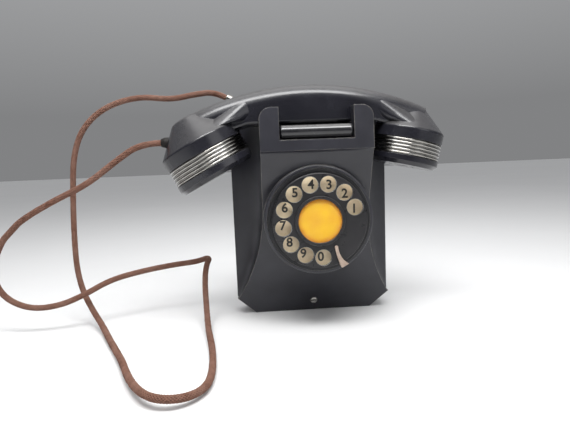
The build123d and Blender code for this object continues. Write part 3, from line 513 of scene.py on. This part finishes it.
class Braiding:
    """The geometry nodes that lay a core and crossing strands along a line of edges."""

    ready: "Braiding | None" = None

    def __init__(self) -> None:
        """Builds the node group once, with its named inputs."""
        self.tree = bpy.data.node_groups.new("braiding", "GeometryNodeTree")
        face = self.tree.interface
        face.new_socket("Geometry", in_out="INPUT", socket_type="NodeSocketGeometry")
        self.sockets: dict[str, str] = {}
        for key in ("Core", "Strand", "Lie", "Weave", "Pitch"):
            self.sockets[key] = face.new_socket(key, in_out="INPUT", socket_type="NodeSocketFloat").identifier
        self.sockets["Strands"] = face.new_socket("Strands", in_out="INPUT", socket_type="NodeSocketInt").identifier
        face.new_socket("Geometry", in_out="OUTPUT", socket_type="NodeSocketGeometry")
        self.wire(Wiring(self.tree))

    @classmethod
    def shared(cls) -> "Braiding":
        """Gives the one group that both stretches use."""
        if cls.ready is None:
            cls.ready = cls()
        return cls.ready

    def wire(self, wiring: Wiring) -> None:
        """Wires core, strands, smoothing and material."""
        given = {s.name: s for s in wiring.add("NodeGroupInput").outputs}
        line = wiring.add("GeometryNodeMeshToCurve", {0: given["Geometry"]}).outputs[0]
        core = self.sweep(wiring, line, given["Core"], 12, 0.25)
        copies = wiring.add("GeometryNodeDuplicateElements", {0: line, "Amount": given["Strands"]}, domain="SPLINE")
        strands = self.lay(wiring, given, copies)
        number = copies.outputs["Duplicate Index"]
        tone = wiring.span(wiring.math("FRACT", wiring.math("MULTIPLY", number, 0.382)), 0.0, 1.0, 0.45, 1.0)
        strands = self.sweep(wiring, strands, given["Strand"], 4, tone)
        both = wiring.add("GeometryNodeJoinGeometry")
        for piece in (strands, core):
            wiring.tree.links.new(piece, both.inputs[0])
        real = wiring.add("GeometryNodeRealizeInstances", {0: both.outputs[0]}).outputs[0]
        dressed = wiring.add("GeometryNodeSetMaterial", {"Geometry": real, "Material": Look.BRAID.value.material()})
        wiring.add("NodeGroupOutput", {0: dressed.outputs[0]})

    def lay(self, wiring: Wiring, given: dict, copies: bpy.types.Node) -> bpy.types.NodeSocket:
        """Moves each copy of the line to its place round the cord; odd copies run the other way.

        Args:
            wiring: The group's wiring.
            given: The group's input sockets by name.
            copies: The node that copies the line.

        Returns:
            The socket with the laid strands.
        """
        number = copies.outputs["Duplicate Index"]
        hand = wiring.math("SUBTRACT", wiring.math("MULTIPLY", wiring.math("MODULO", number, 2.0), 2.0), 1.0)
        share = wiring.math("DIVIDE", number, given["Strands"])
        length = wiring.add("GeometryNodeSplineParameter").outputs["Length"]
        turns = wiring.math("MULTIPLY", wiring.math("DIVIDE", length, given["Pitch"]), 2 * math.pi)
        angle = wiring.math("ADD", wiring.math("MULTIPLY", share, 2 * math.pi), wiring.math("MULTIPLY", turns, hand))
        beat = wiring.math("COSINE", wiring.math("MULTIPLY", turns, wiring.math("DIVIDE", given["Strands"], 2.0)))
        lift = wiring.math("MULTIPLY", wiring.math("MULTIPLY", beat, hand), given["Weave"])
        reach = wiring.math("ADD", given["Lie"], lift)
        normal = wiring.add("GeometryNodeInputNormal").outputs[0]
        tangent = wiring.add("GeometryNodeInputTangent").outputs[0]
        other = wiring.add("ShaderNodeVectorMath", {0: tangent, 1: normal}, operation="CROSS_PRODUCT").outputs[0]
        parts = []
        for axis, wave in ((normal, "COSINE"), (other, "SINE")):
            size = wiring.math("MULTIPLY", reach, wiring.math(wave, angle))
            scaled = wiring.add("ShaderNodeVectorMath", {0: axis, "Scale": size}, operation="SCALE")
            parts.append(scaled.outputs[0])
        offset = wiring.add("ShaderNodeVectorMath", {0: parts[0], 1: parts[1]}, operation="ADD").outputs[0]
        placed = wiring.add("GeometryNodeSetPosition", {"Geometry": copies.outputs[0], "Offset": offset})
        return placed.outputs[0]

    def sweep(self, wiring: Wiring, line: object, radius: object, sides: int, tone: object) -> bpy.types.NodeSocket:
        """Sweeps a round section along lines and stores the tone of each.

        Args:
            wiring: The group's wiring.
            line: The socket with the lines.
            radius: The section's radius.
            sides: How many sides the section has.
            tone: Value or socket for the stored tone.

        Returns:
            The socket with the swept mesh.
        """
        kept = wiring.add("GeometryNodeStoreNamedAttribute", {"Geometry": line, "Name": "tone", "Value": tone},
                          data_type="FLOAT", domain="POINT").outputs[0]
        section = wiring.add("GeometryNodeCurvePrimitiveCircle", {"Resolution": sides, "Radius": radius}).outputs[0]
        swept = wiring.add("GeometryNodeCurveToMesh", {"Curve": kept, "Profile Curve": section, "Fill Caps": True})
        return wiring.add("GeometryNodeSetShadeSmooth", {"Geometry": swept.outputs[0]}).outputs[0]


@dataclass
class Cord:
    """The braided cord from the handset's bush to the case's ferrule, in two stretches of one line."""

    diameter: float = 5.2
    core: float = 2.1
    strand: float = 0.36
    lie: float = 2.18
    weave: float = 0.09
    pitch: float = 15.0
    strands: int = 16
    handset_route: list[Point] = field(default_factory=lambda: [
        (-121.99, -8, 155.7), (-138.5, -8, 155.7), (-158, -9, 143), (-182, -10, 125), (-209, -9, 113.5), (-238, -5, 98.5),
        (-248, -3, 89.5)])
    case_route: list[Point] = field(default_factory=lambda: [
        (-258, -1, 80.5), (-270, 2, 56), (-264, 3, 34), (-243, 3, 22), (-219, 5, 23), (-199.5, 9, 30), (-180, 19, 39.5),
        (-156, 29, 43.5), (-128, 36, 46.5), (-106, 40, 47.5), (-93, 35, 52.5), (-96, 22, 47), (-97, 14, 33), (-95.5, 4, 13.5),
        (-92, -22, 4), (-85, -60, 3.2), (-81.5, -97, 3.2), (-83.5, -119, 4), (-92.5, -131, 5), (-106, -135, 6.5),
        (-119, -128, 7), (-133, -105, 5.5), (-147, -71, 4), (-166, -34, 3.2), (-182, -2, 5), (-197, 17, 15), (-207.5, 27, 30),
        (-213.5, 34, 50), (-214, 37, 82), (-212, 38, 119), (-209, 39, 150), (-199, 39, 174), (-178, 39, 191.5),
        (-148, 39, 199.5), (-120, 38, 195.5), (-98, 37, 199.5), (-80.5, 37, 201), (-70.99, 37, 195.5)])

    def line(self) -> list[Vector]:
        """Reads the smooth centreline off a NURBS spline through the route.

        Returns:
            Closely spaced points in the row frame.
        """
        route = [row(*p) for p in self.handset_route + self.case_route]
        curve = bpy.data.curves.new("cord_line", "CURVE")
        curve.dimensions = "3D"
        curve.resolution_u = 20
        spline = curve.splines.new("NURBS")
        spline.points.add(len(route) - 1)
        for point, place in zip(spline.points, route):
            point.co = (*place, 1.0)
        spline.order_u = 3
        spline.use_endpoint_u = True
        mesh = take_mesh(link(bpy.data.objects.new("cord_line", curve)))
        return [v.co.copy() for v in mesh.vertices]

    def braid(self, name: str, points: list[Vector]) -> bpy.types.Object:
        """Lays the core and the strands along points and keeps the result as a plain mesh.

        Args:
            name: The piece's name.
            points: The centreline.

        Returns:
            The braided stretch.
        """
        guide = bpy.data.meshes.new(f"{name}_line")
        guide.from_pydata(points, [(i, i + 1) for i in range(len(points) - 1)], [])
        host = link(bpy.data.objects.new(f"{name}_line", guide))
        braiding = Braiding.shared()
        modifier = host.modifiers.new("braid", "NODES")
        modifier.node_group = braiding.tree
        sizes = {
            "Core": self.core * MM,
            "Strand": self.strand * MM,
            "Lie": self.lie * MM,
            "Weave": self.weave * MM,
            "Pitch": self.pitch * MM,
            "Strands": self.strands,
        }
        for key, value in sizes.items():
            modifier[braiding.sockets[key]] = value
        bpy.context.view_layer.update()
        mesh = take_mesh(host)
        mesh.name = name
        piece = link(bpy.data.objects.new(name, mesh))
        LOG.info("built %s", name)
        return piece

    def build(self) -> None:
        points = self.line()
        joint = row(*self.handset_route[-1])
        split = min(range(len(points)), key=lambda i: (points[i] - joint).length)
        parts = (("handset_lead", points[: split + 1], "handset_cord"), ("case_lead", points[split:], "case_cord"))
        for name, line, node in parts:
            piece = self.braid(name, line)
            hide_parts(node)
            if node == "handset_cord":
                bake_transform(piece)
            else:
                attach(piece, "case")


@dataclass
class Stage:
    """Pale floor, soft light and the camera."""

    floor_level: float = -0.3
    eye: Point = (-47.7, -382.4, 138.3)
    pitch: float = 6.74
    yaw: float = 3.46
    roll: float = -2.27
    focal_px: float = 456.0
    image_px: float = 570.0

    def floor(self) -> None:
        """A large pale floor that keeps the object's shadow."""
        half = 6.0
        level = row(0, 0, self.floor_level).z
        mesh = bpy.data.meshes.new("floor")
        corners = [(-half, -half, level), (half, -half, level), (half, half, level), (-half, half, level)]
        mesh.from_pydata(corners, [], [(0, 1, 2, 3)])
        piece = link(bpy.data.objects.new("floor", mesh))
        pale = Finish("pale_floor", (0.80, 0.80, 0.80), (0.78, 0.78, 0.78), (0.7, 0.8), cloud=3.0)
        mesh.materials.append(pale.material())

    def light(self) -> None:
        """Soft studio light, with a strip for the gloss, and a world that is brighter behind and above."""
        lamps = (
            ("key", (-350, -700, 900), (0.7, 0.7), 2.4),
            ("fill", (600, -700, 500), (0.6, 0.6), 1.3),
            ("top", (0, -60, 950), (0.9, 0.9), 4.6),
            ("strip", (-30, -280, 600), (0.5, 0.18), 3.6),
        )
        aim = row(0, 0, 100)
        for name, place, size, power in lamps:
            data = bpy.data.lights.new(name, "AREA")
            data.shape = "RECTANGLE"
            data.size, data.size_y = size
            data.energy = power
            lamp = link(bpy.data.objects.new(name, data))
            lamp.location = row(*place)
            lamp.rotation_euler = (aim - lamp.location).to_track_quat("-Z", "Y").to_euler()
            lamp.visible_camera = False
        world = bpy.data.worlds.new("studio")
        world.use_nodes = True
        wiring = Wiring(world.node_tree)
        place = wiring.add("ShaderNodeTexCoord").outputs["Generated"]
        axes = wiring.add("ShaderNodeSeparateXYZ", {0: place})
        around = wiring.span(axes.outputs["Y"], -0.6, 0.6, 0.07, 0.24)
        above = wiring.span(axes.outputs["Z"], 0.1, 0.9, 0.0, 0.45)
        back = world.node_tree.nodes["Background"]
        back.inputs["Color"].default_value = (0.92, 0.93, 0.95, 1.0)
        wiring.feed(back.inputs["Strength"], wiring.math("ADD", around, above))
        bpy.context.scene.world = world

    def camera(self) -> None:
        """The camera at the viewing angle of the picture."""
        pitch, yaw, roll = (math.radians(a) for a in (self.pitch, self.yaw, self.roll))
        ahead = Vector((math.sin(yaw) * math.cos(pitch), math.cos(yaw) * math.cos(pitch), -math.sin(pitch)))
        right = Vector((math.cos(yaw), -math.sin(yaw), 0.0))
        up = right.cross(ahead)
        turned_right = math.cos(roll) * right + math.sin(roll) * up
        turned_up = -math.sin(roll) * right + math.cos(roll) * up
        data = bpy.data.cameras.new("camera")
        data.sensor_width = 36.0
        data.lens = self.focal_px / self.image_px * data.sensor_width
        data.clip_start = 0.01
        camera = link(bpy.data.objects.new("camera", data))
        turn = Matrix((turned_right, turned_up, -ahead)).transposed().to_4x4()
        camera.matrix_world = Matrix.Translation(row(*self.eye)) @ turn
        bpy.context.scene.camera = camera

    def build(self) -> None:
        """Sets up floor, light, camera and the plain view transform."""
        self.floor()
        self.light()
        self.camera()
        bpy.context.scene.view_settings.view_transform = "Standard"


def main() -> None:
    """Builds the pieces in order."""
    logging.basicConfig(level=logging.INFO, format="%(message)s")
    dress_frame()
    Digits().build()
    Cord().build()
    Stage().build()


if __name__ == "__main__":
    main()
